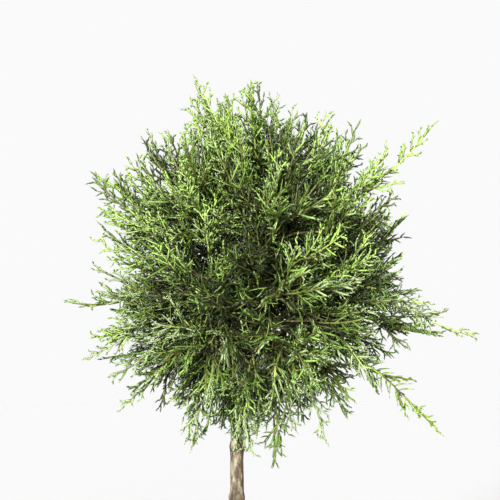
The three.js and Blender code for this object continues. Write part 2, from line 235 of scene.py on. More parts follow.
def grow_twig(goal, kind, bow, scale=1.0):
    """A twig from the nearest mass's stem towards a goal, with the sprays it carries."""
    outward = unit(goal - HUB)
    length = SPRAY.length * kind.scale * scale * stream.between(*SPRAY.lengths)
    end = goal - outward * SPRAY.within * length
    start = twig_start(mass_towards(goal).stem, end)
    middle = (start + end) / 2
    middle[2] += bow * np.linalg.norm(end - start)
    curve = (start, middle, end)
    tangent = bezier_tangent(*curve, 1.0)
    last = lifted(unit(tangent + (outward - tangent) * SPRAY.outward_last), end, kind)
    sprays = [[end, last, length]]
    spin = stream.between(0, 2 * math.pi)
    for i in range(kind.side):
        low, high = SPRAY.along
        at = low + (high - low) * i / (kind.side - 1)
        tangent = bezier_tangent(*curve, at)
        lean = math.radians(stream.between(*SPRAY.lean))
        hinge = spun(square_to(tangent), tangent, np.array(spin + i * GOLDEN_ANGLE))
        towards = spun(tangent, hinge, np.array(lean))
        towards = unit(towards + (outward - towards) * SPRAY.outward_side)
        start = bezier(*curve, at)
        shorter = 1 + (kind.slims - 1) * i / (kind.side - 1)
        sprays.append([
            start, lifted(towards, start, kind), length * shorter * stream.between(*SPRAY.side_lengths),
        ])
    for spray in sprays:
        spray += [stream.between(0, math.pi), kind.width]
    return Named(curve=curve, sprays=sprays)


def globe_goal(i, count, tips):
    height = 1 - (2 * i + 1) / count
    level = math.sqrt(1 - height * height)
    turn = i * GOLDEN_ANGLE
    level *= 1 - NARROWS * max(height, 0)
    goal = np.array((level * math.cos(turn), level * math.sin(turn), height))
    return goal * GLOBE_RADII * stream.between(*tips) + GLOBE_CENTRE


TWIGS = [grow_twig(globe_goal(i, TWIG.count, TWIG.tips), ORDINARY, BOW) for i in range(TWIG.count)]
LEADING = [
    grow_twig(direction(turn, elevation) * reach + GLOBE_CENTRE, LEADER, bow)
    for turn, elevation, reach, bow in LEADERS
]

# Finer than the model: more twigs, on shells inside the first ones. Number, reach of the tips, size.
SHELLS = ((150, (0.9, 1.05), 0.7), (70, (0.68, 0.9), 0.8), (30, (0.4, 0.62), 0.75))
# Thin places where sky shows through the crown from the front: X, Z and radius.
OPENINGS = ((-0.118, 0.780, 0.034), (0.158, 0.870, 0.040), (0.098, 0.942, 0.034), (0.054, 0.962, 0.028),
            (0.108, 0.636, 0.038), (0.104, 0.602, 0.030), (0.012, 0.980, 0.020), (-0.056, 0.966, 0.020),
            (0.184, 0.900, 0.026))
# Hollows in the front of the crown, darkened with painted shade where its inside shows: X, Z and radius.
HOLLOWS = ((0.028, 0.728, 0.046), (-0.012, 0.698, 0.040), (0.028, 0.794, 0.036), (0.036, 0.862, 0.030),
           (0.070, 0.894, 0.034))
# No spray of the finer twigs starts where a hollow is over this deep, in front of this Y.
HOLLOW_EDGE, HOLLOW_BACK = 0.5, -0.085
# Where loose shoots make the crown fuller: X, Y and Z of the twigs' goals.
LOOSE = (
    (-0.150, 0.000, 0.640), (-0.166, -0.030, 0.688), (-0.126, -0.040, 0.628), (-0.150, 0.050, 0.650),
    (0.206, 0.000, 0.700), (0.240, -0.010, 0.688), (0.222, 0.030, 0.700),
    (-0.030, -0.030, 0.586), (0.010, 0.030, 0.580), (-0.048, 0.020, 0.572), (0.056, -0.020, 0.566),
    (-0.075, 0.000, 0.580), (0.008, -0.030, 0.562), (-0.022, -0.010, 0.560),
    (-0.026, -0.010, 0.985), (-0.165, 0.000, 0.800), (-0.165, -0.020, 0.828),
    (-0.112, -0.010, 0.920), (0.150, 0.000, 0.926), (0.140, -0.020, 0.622), (-0.172, -0.010, 0.868),
    (0.006, -0.010, 0.556), (-0.050, 0.130, 0.797), (-0.048, 0.080, 0.803),
)
LOOSE_SCALE = 0.8


def in_opening(spray):
    middle = spray[0] + spray[1] * spray[2] / 2
    return any(math.hypot(middle[0] - x, middle[2] - z) < radius for x, z, radius in OPENINGS)


def in_hollow(points):
    """How deep in the front's hollows each point is, from 0 to 1, which also weighs the painted shade there.
    """
    deep = [
        np.exp(-((points[..., 0] - x) ** 2 + (points[..., 2] - z) ** 2) / radius**2)
        for x, z, radius in HOLLOWS
    ]
    return np.max(deep, axis=0) * (points[..., 1] < 0)


FILLING = [
    grow_twig(globe_goal(i, count, tips), ORDINARY, BOW, scale)
    for count, tips, scale in SHELLS
    for i in range(count)
]
for twig in FILLING:
    twig.sprays = [
        spray for spray in twig.sprays
        if not in_opening(spray) and (in_hollow(spray[0]) < HOLLOW_EDGE or spray[0][1] > HOLLOW_BACK)
    ]
FILLING += [grow_twig(np.array(goal), ORDINARY, BOW, LOOSE_SCALE) for goal in LOOSE]

# ---------------- meshes from arrays

BODY = "root"


def placed(name, data):
    """An object in the scene with this mesh, light or camera."""
    thing = bpy.data.objects.new(name, data)
    bpy.context.scene.collection.objects.link(thing)
    return thing


def piece(name, vertices, faces, material, slot, smooth=True, replaces=()):
    """A mesh object that rides on the plant's one body, from arrays of vertices and triangles."""
    mesh = bpy.data.meshes.new(name)
    mesh.from_pydata(vertices.tolist(), [], faces.tolist(), shade_flat=not smooth)
    mesh.materials.append(material)
    thing = placed(name, mesh)
    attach(thing, BODY)
    if replaces:
        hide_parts(*replaces)
    return thing


def squared(v, axis):
    """The unit direction of what in v is square to a unit axis."""
    return unit(v - axis * np.sum(v * axis, axis=-1, keepdims=True))


def swung(a, b, angle):
    """a swung by an angle towards b, which is square to it."""
    return a * np.cos(angle)[..., None] + b * np.sin(angle)[..., None]


def tubes(points, radii, sides, twist=0.0):
    """Round limbs, each closed by a flat foot and a pointed end.

    points is (limbs, rings + 1, 3), with the pointed end last, and radii is (limbs, rings).
    Gives vertices (limbs, sides * rings + 1, 3) and the triangles of one limb.
    """
    limbs, rings = radii.shape
    tangent = np.empty_like(points[:, :rings])
    tangent[:, 0] = points[:, 1] - points[:, 0]
    tangent[:, 1:] = points[:, 2:rings + 1] - points[:, :rings - 1]
    tangent = unit(tangent)
    across = squared(square_to(tangent[:, :1]), tangent)
    other = np.cross(tangent, across)
    angle = 2 * math.pi * np.arange(sides) / sides + twist * np.arange(rings)[:, None]
    circle = swung(across[:, :, None], other[:, :, None], angle)
    ring = points[:, :rings, None] + circle * radii[:, :, None, None]
    vertices = np.concatenate((ring.reshape(limbs, rings * sides, 3), points[:, rings:]), axis=1)
    faces = []
    for r in range(rings - 1):
        for j in range(sides):
            a, b = r * sides + j, r * sides + (j + 1) % sides
            faces += [(a, b, b + sides), (a, b + sides, a + sides)]
    last = (rings - 1) * sides
    faces += [(last + j, last + (j + 1) % sides, rings * sides) for j in range(sides)]
    faces += [(0, j + 1, j) for j in range(1, sides - 1)]
    return vertices, np.array(faces)


def joined(parts):
    """One vertex array and one face array from (vertices (n, v, 3), faces of one limb) parts."""
    all_vertices, all_faces, start = [], [], 0
    for vertices, faces in parts:
        limbs, each = vertices.shape[:2]
        all_vertices.append(vertices.reshape(-1, 3))
        offsets = start + each * np.arange(limbs)[:, None, None]
        all_faces.append((faces[None] + offsets).reshape(-1, 3))
        start += limbs * each
    return np.concatenate(all_vertices), np.concatenate(all_faces)


# ---------------- materials


def linear(value):
    """A 0-255 display value as a share of full light."""
    share = value / 255
    return share / 12.92 if value <= 10 else ((share + 0.055) / 1.055) ** 2.4


def srgb(r, g, b):
    """A linear colour from 0-255 display values."""
    return linear(r), linear(g), linear(b), 1.0


class Nodes:
    """A new material with its Principled shader and a short way to add and link nodes."""

    def __init__(self, name, roughness, specular=0.4):
        self.material = bpy.data.materials.new(name)
        self.material.use_nodes = True
        self.tree = self.material.node_tree
        self.shader = self.tree.nodes["Principled BSDF"]
        self.shader.inputs["Roughness"].default_value = roughness
        self.shader.inputs["Specular IOR Level"].default_value = specular
        self.coordinates = self.tree.nodes.new("ShaderNodeTexCoord").outputs["Object"]

    def link(self, output, target):
        self.tree.links.new(output, target)

    def add(self, kind, **values):
        """A new node, with its inputs set by name."""
        node = self.tree.nodes.new("ShaderNode" + kind)
        for name, value in values.items():
            node.inputs[name.replace("_", " ")].default_value = value
        return node

    def texture(self, kind, stretch, **values):
        """A texture in the object's own coordinates, each stretched by its factor."""
        mapping = self.add("Mapping", Scale=stretch)
        self.link(self.coordinates, mapping.inputs["Vector"])
        node = self.add(kind, **values)
        self.link(mapping.outputs["Vector"], node.inputs["Vector"])
        return node

    def noise(self, scale, detail=4.0, stretch=(1, 1, 1), roughness=0.55):
        node = self.texture("TexNoise", stretch, Scale=scale, Detail=detail, Roughness=roughness)
        return node.outputs["Fac"]

    def voronoi(self, scale, stretch=(1, 1, 1)):
        return self.texture("TexVoronoi", stretch, Scale=scale).outputs["Distance"]

    def ramp(self, factor, *stops):
        node = self.add("ValToRGB")
        elements = node.color_ramp.elements
        while len(elements) < len(stops):
            elements.new(0.5)
        for element, (position, colour) in zip(elements, stops):
            element.position = position
            element.color = colour
        self.link(factor, node.inputs["Fac"])
        return node.outputs["Color"]

    def mix(self, factor, first, second, blend="MIX"):
        node = self.add("Mix")
        node.data_type = "RGBA"
        node.blend_type = blend
        for value, socket in ((factor, node.inputs[0]), (first, node.inputs[6]), (second, node.inputs[7])):
            if isinstance(value, bpy.types.NodeSocket):
                self.link(value, socket)
            else:
                socket.default_value = value
        return node.outputs[2]

    def colour(self, output):
        self.link(output, self.shader.inputs["Base Color"])

    def bump(self, height, distance, strength=1.0):
        node = self.add("Bump", Distance=distance, Strength=strength)
        self.link(height, node.inputs["Height"])
        self.link(node.outputs["Normal"], self.shader.inputs["Normal"])

    def vary_roughness(self, factor, low, high):
        node = self.add("MapRange", To_Min=low, To_Max=high)
        self.link(factor, node.inputs["Value"])
        self.link(node.outputs["Result"], self.shader.inputs["Roughness"])


def shade(colour, factor):
    return tuple(min(1.0, c * factor) for c in colour[:3]) + (1.0,)


def leaf_material(name, colour):
    """Whipcord foliage: one base colour, a little uneven, with the small scales that clothe it."""
    m = Nodes(name, 0.5, 0.38)
    mottle = m.noise(160, 3)
    m.colour(m.ramp(mottle, (0.3, shade(colour, 0.78)), (0.52, colour), (0.75, shade(colour, 1.22))))
    m.bump(m.voronoi(900), 0.0003, 0.6)
    return m.material


def bark_material(name, pale, brown, dark, scale):
    """Rough bark in small plates, with dark flecks between them."""
    m = Nodes(name, 0.8, 0.25)
    plates = m.noise(scale, 6, (1, 1, 0.35))
    flecks = m.voronoi(scale * 2.6, (1, 1, 0.5))
    base = m.ramp(plates, (0.34, dark), (0.46, brown), (0.56, pale), (0.72, shade(pale, 1.12)))
    fleck = m.ramp(flecks, (0.05, (0.35, 0.3, 0.25, 1)), (0.32, (1, 1, 1, 1)))
    m.colour(m.mix(0.75, base, fleck, "MULTIPLY"))
    m.bump(plates, 0.0012, 0.8)
    m.vary_roughness(plates, 0.9, 0.7)
    return m.material


def stem_bark():
    """Smooth buff and olive bark in long streaks, with brown blotches and dark flecks across it."""
    m = Nodes("stem_bark", 0.8, 0.25)
    streaks = m.noise(146, 6, (1, 1, 0.2), 0.6)
    blotches = m.noise(110, 6, (1, 1, 0.42), 0.66)
    flecks = m.voronoi(340, (0.45, 0.45, 1.5))
    olive, buff, brown = srgb(56, 49, 34), srgb(94, 88, 71), srgb(42, 28, 16)
    base = m.ramp(streaks, (0.4, olive), (0.5, buff), (0.6, shade(buff, 1.5)))
    browned = m.ramp(blotches, (0.43, (0, 0, 0, 1)), (0.56, (0.9, 0.9, 0.9, 1)))
    base = m.mix(browned, base, brown)
    fleck = m.ramp(flecks, (0.08, (0.38, 0.32, 0.27, 1)), (0.3, (1, 1, 1, 1)))
    m.colour(m.mix(0.6, base, fleck, "MULTIPLY"))
    m.bump(blotches, 0.0010, 0.7)
    m.vary_roughness(streaks, 0.9, 0.72)
    return m.material


BARK = stem_bark()
SCAR_BARK = bark_material("scar_bark", srgb(92, 66, 44), srgb(62, 42, 28), srgb(34, 24, 18), 420)
TWIG_BARK = bark_material("twig_bark", srgb(86, 82, 42), srgb(58, 54, 24), srgb(32, 29, 12), 300)

# Foliage colours, from the young tips in to the painted shade of the crown's inside (deep and shade), dealt
# out by spray.
FOLIAGE = {
    "tip": srgb(130, 154, 76),
    "fresh": srgb(116, 142, 64),
    "leaf": srgb(106, 130, 60),
    "grey": srgb(112, 128, 84),
    "deep": srgb(72, 96, 30),
    "shade": srgb(34, 44, 8),
    "vivid": srgb(108, 134, 42),
    "shoot": srgb(126, 138, 72),
    "dry_and_shaded": srgb(80, 82, 34),
}
LEAVES = {name: leaf_material("foliage_" + name, colour) for name, colour in FOLIAGE.items()}

# ---------------- plumes of whipcord branchlets

FOLIAGE_SEED = 43
rng = np.random.default_rng(FOLIAGE_SEED)

# A plume is an axis with laterals. Angles are in degrees, scatters out of a plane in radians.
PLUME = Named(bend=0.06, lift=0.13, radius=0.0013, tip_radius=0.0010, rings=6)
LATERAL = Named(
    most=18, step=0.0074, first=0.9, uneven=0.15, last=0.97,
    length=0.42, shortest=0.10, taper=0.75, lengths=(0.72, 1.15),  # shares of the plume's length
    lean=44, lean_at_tip=34, lean_scatter=6, flatness=0.45,
    forward=0.14, wander=0.035, swell=np.array((1.05, 1.0, 0.85)), thickness=(0.9, 1.1),
)
# What differs on the leaders' plumes: closer laterals, further out of the plane, on a narrower plume.
LEADER_LATERAL = Named(closer=0.9, flatness=0.8, narrower=0.86)
# Cords stand on the laterals, and some of them fork.
CORD = Named(
    most=8, step=0.0057, first=0.7, uneven=0.2, last=0.94,
    length=0.0108, fineness=(0.6, 1.4), taper=0.35, lengths=(0.75, 1.12),
    lean=42, lean_scatter=7, scatter=0.35, forward=0.12,
    radius=0.0013, swell=np.array((0.8, 0.95, 0.66)), thickness=(0.88, 1.1),
    shares=np.array((0.0, 0.35, 0.72, 1.0)),
)
FORK = Named(
    share=0.08, scatter=0.6, aside=0.6, length=0.55,
    swell=np.array((0.75, 0.8)), shares=np.array((0.0, 0.6, 1.0)),
)
# Cords that stand straight on the outer part of a twig, close and long on the leaders.
COMB = Named(starts=0.4, step=0.0062, length=(0.011, 0.026), lean=(40, 58), scatter=0.5)
LEADER_COMB = Named(starts=0.15, step=0.0031, length=(0.020, 0.028), lean=(50, 66), scatter=0.45)
COMB_CORD = Named(
    uneven=0.6, longest=1.1, taper=0.4, forward=0.3, wander=0.03, swell=CORD.swell, thickness=(0.85, 1.05),
    like_share=(0.4, 0.8),  # as light as what stands there on a spray
)
SHEATH = Named(starts=0.1, thickness=0.0002, like_share=0.4, rings=8)
# Long thin bare cords, most of them part of the way in and low. Depths and heights are in globe radii.
WISP = Named(
    count=2000, depth=0.62, spread=0.22, deepest=0.84, highest=0.8, likely=(0.05, 1.2),
    length=(0.010, 0.022), scatter=0.45, curl=0.45, lift=0.15,
    radius=0.0007, swell=(1.1, 0.7), thickness=(0.85, 1.15), rings=5,
)


def curve_point(start, towards, bend, length, share):
    """The point at a share of each gently bent line."""
    return start + towards * (length * share)[..., None] + bend * (length * share * share)[..., None]


def curve_points(start, towards, bend, length, shares):
    """(limbs, shares, 3) points of gently bent lines."""
    return curve_point(start[:, None], towards[:, None], bend[:, None], length[:, None], shares)


def curve_tangent(towards, bend, share):
    return unit(towards + 2 * bend * share[..., None])


def cord_radii(kind, count):
    """The radii along each cord of a kind, each cord a little thick or thin."""
    return CORD.radius * kind.swell * rng.uniform(*kind.thickness, (count, 1))


def in_globe(points):
    """Places measured from the globe's centre in its own radii."""
    return (points - GLOBE_CENTRE) / GLOBE_RADII


def plume_axes(roots, towards, lengths):
    """The bend of each plume, and its axes.

    Limbs of every kind are given as (points, radii, number of the plume, share of the way along it).
    """
    count = len(roots)
    bend = rng.normal(0, PLUME.bend, (count, 3)) + np.array((0, 0, PLUME.lift))
    points = curve_points(roots, towards, bend, lengths, np.linspace(0, 1, PLUME.rings + 1))
    radii = np.tile(np.linspace(PLUME.radius, PLUME.tip_radius, PLUME.rings), (count, 1))
    return bend, (points, radii, np.arange(count), np.full(count, 0.5))


def plume_laterals(roots, towards, rolls, lengths, widths, leading, bend):
    """The laterals, alternately to either side: the limbs, and the course of each one."""
    many = (len(roots), LATERAL.most)
    number = np.arange(LATERAL.most)
    step = np.where(leading, LEADER_LATERAL.closer, 1)[:, None] * LATERAL.step
    widths = np.where(leading, LEADER_LATERAL.narrower, 1) * widths
    flatness = np.where(leading, LEADER_LATERAL.flatness, LATERAL.flatness)[:, None]
    across = spun(square_to(towards), towards, rolls)
    upward = np.cross(towards, across)
    uneven = rng.uniform(-LATERAL.uneven, LATERAL.uneven, many)
    share = (number + LATERAL.first + uneven) * step / lengths[:, None]
    start = curve_point(roots[:, None], towards[:, None], bend[:, None], lengths[:, None], share)
    tangent = curve_tangent(towards[:, None], bend[:, None], share)
    angle = math.pi * (number % 2) + flatness * rng.normal(0, 1, many)
    around = squared(swung(across[:, None], upward[:, None], angle), tangent)
    lean = LATERAL.lean + (LATERAL.lean_at_tip - LATERAL.lean) * share
    lean = np.radians(lean + rng.normal(0, LATERAL.lean_scatter, many))
    heading = swung(tangent, around, lean)
    reach = LATERAL.length * np.maximum(1 - share, 0) ** LATERAL.taper + LATERAL.shortest
    length = (lengths * widths)[:, None] * reach * rng.uniform(*LATERAL.lengths, many)
    kept = share < LATERAL.last
    start, tangent, heading, length, share = (a[kept] for a in (start, tangent, heading, length, share))
    count = len(share)
    forward = tangent * LATERAL.forward + rng.normal(0, LATERAL.wander, (count, 3))
    points = curve_points(start, heading, forward, length, np.linspace(0, 1, len(LATERAL.swell) + 1))
    radii = cord_radii(LATERAL, count)
    return (points, radii, np.nonzero(kept)[0], share), (start, heading, forward, length, tangent)


def plume_cords(laterals, courses, plume_count):
    """The cords along each lateral, alternately to either side, and the forks on some of them."""
    start, heading, forward, length, inward = courses
    most = CORD.most
    uneven = rng.uniform(-CORD.uneven, CORD.uneven, (len(start), most))
    share = (np.arange(most) + CORD.first + uneven) * CORD.step / length[:, None]
    row, number = np.nonzero(share < CORD.last)
    share = share[row, number]
    count = len(row)
    foot = curve_point(start[row], heading[row], forward[row], length[row], share)
    along = curve_tangent(heading[row], forward[row], share)
    inward = squared(inward[row], along)
    angle = math.pi * (number % 2) + rng.normal(0, CORD.scatter, count)
    around = swung(inward, np.cross(along, inward), angle)
    lean = np.radians(CORD.lean + rng.normal(0, CORD.lean_scatter, count))
    heading = swung(along, around, lean)
    owner, place = laterals[2][row], laterals[3][row]
    fineness = rng.uniform(*CORD.fineness, plume_count)[owner]
    length = CORD.length * fineness * (1 - CORD.taper * share) * rng.uniform(*CORD.lengths, count)
    bend = along * CORD.forward
    points = curve_points(foot, heading, bend, length, CORD.shares)
    radii = cord_radii(CORD, count)
    forked = rng.random(count) < FORK.share
    side = unit(np.cross(heading, around) + rng.normal(0, FORK.scatter, (count, 3)))
    heading = unit(heading + side * FORK.aside)
    fork_points = curve_points(points[:, 1], heading, bend, length * FORK.length, FORK.shares)
    fork_radii = np.tile(CORD.radius * FORK.swell, (count, 1))
    forks = tuple(a[forked] for a in (fork_points, fork_radii, owner, place))
    return (points, radii, owner, place), forks


def wisps(laterals):
    """Long thin bare cords that curl out of the shaded sprays."""
    points, _, owner, share = laterals
    foot, tip = points[:, 0], points[:, -1]
    place, count = in_globe(foot), WISP.count
    depth = np.linalg.norm(place, axis=1)
    likely = np.exp(-((depth - WISP.depth) / WISP.spread) ** 2)
    likely = likely * np.clip(WISP.highest - place[:, 2], *WISP.likely) * (depth < WISP.deepest)
    chosen = rng.choice(len(foot), count, replace=False, p=likely / likely.sum())
    foot, heading = foot[chosen], unit(tip - foot)[chosen]
    heading = unit(heading + rng.normal(0, WISP.scatter, (count, 3)))
    bend = rng.normal(0, WISP.curl, (count, 3)) + np.array((0, 0, WISP.lift))
    length = rng.uniform(*WISP.length, count)
    points = curve_points(foot, heading, bend, length, np.linspace(0, 1, WISP.rings + 1))
    radii = WISP.radius * np.linspace(*WISP.swell, WISP.rings) * rng.uniform(*WISP.thickness, (count, 1))
    return points, radii, owner[chosen], share[chosen]


def combs(twigs):
    """Straight cords along the outer part of each twig, and the green sheath they stand on."""
    sheaths, cords = [], []
    like_first, like_last = COMB_CORD.like_share
    for index, twig in enumerate(twigs):
        curve = twig.curve
        comb = LEADER_COMB if len(TWIGS) <= index < len(TWIGS) + len(LEADING) else COMB
        length = np.linalg.norm(curve[2] - curve[0])
        count = max(1, int((1 - comb.starts) * length / comb.step))
        uneven = rng.uniform(0, COMB_CORD.uneven, count)
        at = comb.starts + (1 - comb.starts) * (np.arange(count) + uneven) / count
        tangent = np.array([bezier_tangent(*curve, t) for t in at])
        across = spun(square_to(tangent), tangent, np.full(count, rng.uniform(0, math.pi)))
        angle = math.pi * (np.arange(count) % 2) + rng.normal(0, comb.scatter, count)
        around = swung(across, np.cross(tangent, across), angle)
        heading = swung(tangent, around, np.radians(rng.uniform(*comb.lean, count)))
        reach = rng.uniform(*comb.length, count) * (COMB_CORD.longest - COMB_CORD.taper * at)
        bend = tangent * COMB_CORD.forward + rng.normal(0, COMB_CORD.wander, (count, 3))
        points = curve_points(bezier(*curve, at), heading, bend, reach, CORD.shares)
        cords.append((points, np.full(count, index), like_first + (like_last - like_first) * at))
        sheaths.append(bezier(*curve, np.linspace(SHEATH.starts, 1, SHEATH.rings + 1)))
    points, twig_number, share = (np.concatenate(column) for column in zip(*cords))
    radii = cord_radii(COMB_CORD, len(points))
    thicker = (TWIG.base_radius - TWIG.tip_radius) * (1 - SHEATH.starts)
    sheath_radii = TWIG.tip_radius + SHEATH.thickness + thicker * np.linspace(1, 0, SHEATH.rings)
    sheath_radii = np.tile(sheath_radii, (len(twigs), 1))
    # a twig's own cords and sheath take the tone of its first spray, or of the next twig's if it has none
    owner = np.minimum(first_spray[:-1], first_spray[-1] - 1)
    cords = (points, radii, owner[twig_number], share)
    return cords, (np.array(sheaths), sheath_radii, owner, np.full(len(twigs), SHEATH.like_share))


all_twigs = TWIGS + LEADING + FILLING
sprays_each = [len(twig.sprays) for twig in all_twigs]
first_spray = np.cumsum([0] + sprays_each)
first_leading, first_filling = first_spray[[len(TWIGS), len(TWIGS) + len(LEADING)]]
all_sprays = [spray for twig in all_twigs for spray in twig.sprays]
roots, towards, lengths, rolls, widths = (np.array(column) for column in zip(*all_sprays))
spray_numbers = np.arange(len(roots))
leading = (spray_numbers >= first_leading) & (spray_numbers < first_filling)

kinds = {}
plume_bend, kinds["axis"] = plume_axes(roots, towards, lengths)
kinds["lateral"], courses = plume_laterals(roots, towards, rolls, lengths, widths, leading, plume_bend)
kinds["cord"], kinds["fork"] = plume_cords(kinds["lateral"], courses, len(roots))

# ---------------- tones of the foliage

# How light a spray is, by chance for its twig and itself, with painted shade that makes it darker in the
# filling and in the hollows.
TONE = Named(
    twig=0.22, spray=0.16, most=0.36, least=-0.5, least_on_leaders=-0.12,
    filling=-0.14, hollow=-0.22,
)
# Painted light: the sprays near the middle of the front are lighter, and stand out more from each other.
FRONT = Named(y=-0.06, radius=0.11, contrast=1.4, lighter=0.12)
# How light a limb is besides: painted shade by its place in the globe, darker further in and a little darker
# again past its surface; painted light by its height, lighter higher up; then by its place on the spray, and
# chance.
LIGHT = Named(
    middle=-0.44, outward=1.25, full=0.96, outside=-0.4, height=0.07, share=0.3, scatter=0.05,
)
# The lightest that each kind of spray may be; the darker kinds carry the painted shade of the crown's inside.
CLASSES = (("shade", 0.36), ("deep", 0.62), ("leaf", 0.8), ("grey", 0.9), ("fresh", 1.16), ("tip", 9.0))
# Plume axes lighter than this take the shoot colour; the darker ones take the dry colour, partly the browner
# older wood and partly painted shade.
BRIGHT_AXIS = 0.8
# Low in the crown most sprays are greyer: below this height, in this share of them.
DULL = Named(below=0.76, share=0.8)
# Some young shoots are a vivid yellow green: the sprays nearest to these places.
VIVID = (
    (0.0, -0.12, 0.92), (-0.16, -0.03, 0.66), (0.13, -0.06, 0.62), (0.12, 0.12, 0.86), (-0.09, 0.13, 0.80),
    (0.215, 0.0, 0.925), (0.225, -0.01, 0.583), (-0.030, -0.11, 0.925), (-0.045, -0.06, 0.965),
)

tone = np.repeat(rng.normal(0, TONE.twig, len(all_twigs)), sprays_each)
tone = np.minimum(tone + rng.normal(0, TONE.spray, len(roots)), TONE.most)
tone = np.maximum(tone, np.where(leading, TONE.least_on_leaders, TONE.least))
# Painted shade: the filling sprays, further in the crown, are darker.
tone[first_filling:] += TONE.filling
middles = roots + towards * lengths[:, None] / 2
# Painted shade: sprays in the front's hollows are darker.
tone += TONE.hollow * in_hollow(middles)
# Painted light and shade: near the middle of the front the sprays' tones are spread wider and lifted.
aside = np.hypot(middles[:, 0] - GLOBE_CENTRE[0], middles[:, 2] - GLOBE_CENTRE[2])
facing = (middles[:, 1] < FRONT.y) & (aside < FRONT.radius)
tone[facing] = FRONT.contrast * tone[facing] + FRONT.lighter
dull_sprays = np.nonzero((middles[:, 2] < DULL.below) & (rng.random(len(roots)) < DULL.share))[0]
vivid_sprays = [int(np.argmin(np.linalg.norm(middles - np.array(place), axis=1))) for place in VIVID]


def lightness(points, owner, share):
    place = in_globe(points.mean(axis=1))
    radius = np.linalg.norm(place, axis=1)
    outward = np.minimum(radius, LIGHT.full) + LIGHT.outside * np.maximum(radius - 1, 0)
    # Painted shade further into the globe, and painted light higher up.
    by_place = LIGHT.outward * outward + LIGHT.middle + LIGHT.height * place[:, 2]
    by_share = LIGHT.share * (share - 0.5)
    return by_place + by_share + tone[owner] + rng.normal(0, LIGHT.scatter, len(owner))


kinds["comb"], kinds["sheath"] = combs(all_twigs)
kinds["wisp"] = wisps(kinds["lateral"])

CORD_SIDES = 3
CORD_TWIST = math.pi / CORD_SIDES  # from ring to ring, which makes the cords look round
WISP_COLOURS = ("dry_and_shaded", "deep", "dry_and_shaded", "leaf")
parts = {name: [] for name in FOLIAGE}
for kind, (points, radii, owner, share) in kinds.items():
    light = lightness(points, owner, share)
    vertices, faces = tubes(points, radii, CORD_SIDES, CORD_TWIST if kind in ("cord", "comb") else 0.0)
    # Axes in painted shade take the dry colour, the lighter ones the shoot colour.
    if kind == "axis":
        bright = light > BRIGHT_AXIS
        parts["shoot"].append((vertices[bright], faces))
        parts["dry_and_shaded"].append((vertices[~bright], faces))
        continue
    if kind == "wisp":
        for first, name in enumerate(WISP_COLOURS):
            parts[name].append((vertices[first::len(WISP_COLOURS)], faces))
        continue
    vivid = np.isin(owner, vivid_sprays)
    parts["vivid"].append((vertices[vivid], faces))
    light, vertices = light[~vivid], vertices[~vivid]
    dull = np.isin(owner[~vivid], dull_sprays)
    # Each limb takes the colour of its class of lightness, painted shade and light included.
    darkest = -9.0
    for name, lightest in CLASSES:
        chosen = (light > darkest) & (light <= lightest)
        if name in ("leaf", "fresh", "tip"):
            parts["grey"].append((vertices[chosen & dull], faces))
            chosen &= ~dull
        parts[name].append((vertices[chosen], faces))
        darkest = lightest

# Each kind is joined, and dealt out by whole limbs where that keeps a piece under the limit.
MOST_TRIANGLES = 190000
foliage_nodes = [name for name in NODES if name.startswith("foliage_")]
for name, limbs in parts.items():
    shares = math.ceil(sum(len(vertices) * len(faces) for vertices, faces in limbs) / MOST_TRIANGLES)
    for p in range(shares):
        vertices, faces = joined([(v[p::shares], f) for v, f in limbs])
        suffix = f"_{p + 1}" if shares > 1 else ""
        piece(f"sprays_{name}{suffix}", vertices, faces, LEAVES[name], "foliage", replaces=foliage_nodes)

# ---------------- wood

WAVES = ((1.0, 1.7, 0.3), (2.3, -1.1, 1.9), (3.7, 2.9, -2.2), (5.9, -4.1, 5.3))
WAVE_SUM = 2.1

# Bark relief on the stem. Each pruned shoot leaves a knot, a pit in it, and a scar below them.
# Turns are in radians: from one shoot of a whorl to the next, from whorl to whorl, and of the first.
PRUNED = Named(each=3, uneven=0.002, turn=2.1, whorl_turn=1.3, first_turn=-0.25)
BARK_THICKNESS = 0.0007
STEM_MESH = Named(sides=56, rings=520, ridges=0.035, grain=0.00018, top=0.002)
KNOT = Named(height=0.0035, width=0.42, raised=0.0017)
PIT = Named(height=0.0014, width=0.17, raised=-0.0012)
SCAR = Named(
    below=0.0042, half_width=0.36, uneven=0.14, hook=0.0026, slant=0.0022,
    out=0.0005, ends_in=0.0004, radius=0.00085, rings=11, sides=6,
)


def wave_noise(u, v):
    """Smooth uneven values of about -1 to 1, from a few waves across two fields."""
    value = 0
    for i, (a, b, phase) in enumerate(WAVES):
        value = value + np.sin(a * u + b * v + phase * WAVE_SUM + np.sin(b * u - a * v)) / (i + 1)
    return value / WAVE_SUM


def turned_faces(rings, sides):
    """Triangles round a stack of rings, closed to one point below them and one above."""
    r = np.arange(rings - 1)[:, None] * sides
    j = np.arange(sides)[None]
    k = (j + 1) % sides
    quads = np.stack((r + j, r + k, r + sides + k, r + sides + j), axis=-1).reshape(-1, 4)
    j, k = j[0], k[0]
    last, foot = (rings - 1) * sides, rings * sides
    return np.concatenate((
        quads[:, [0, 1, 2]], quads[:, [0, 2, 3]],
        np.stack((k, j, np.full(sides, foot)), axis=-1),
        np.stack((last + j, last + k, np.full(sides, foot + 1)), axis=-1),
    ))


def pruned_shoots():
    """Whorl, number, turn and height of each pruned shoot."""
    for i in range(WHORL.count):
        for j in range(PRUNED.each):
            height = WHORL.lowest + i * WHORL.spacing + PRUNED.uneven * math.sin(5 * i + 3 * j)
            yield i, j, PRUNED.turn * j + PRUNED.whorl_turn * i + PRUNED.first_turn, height


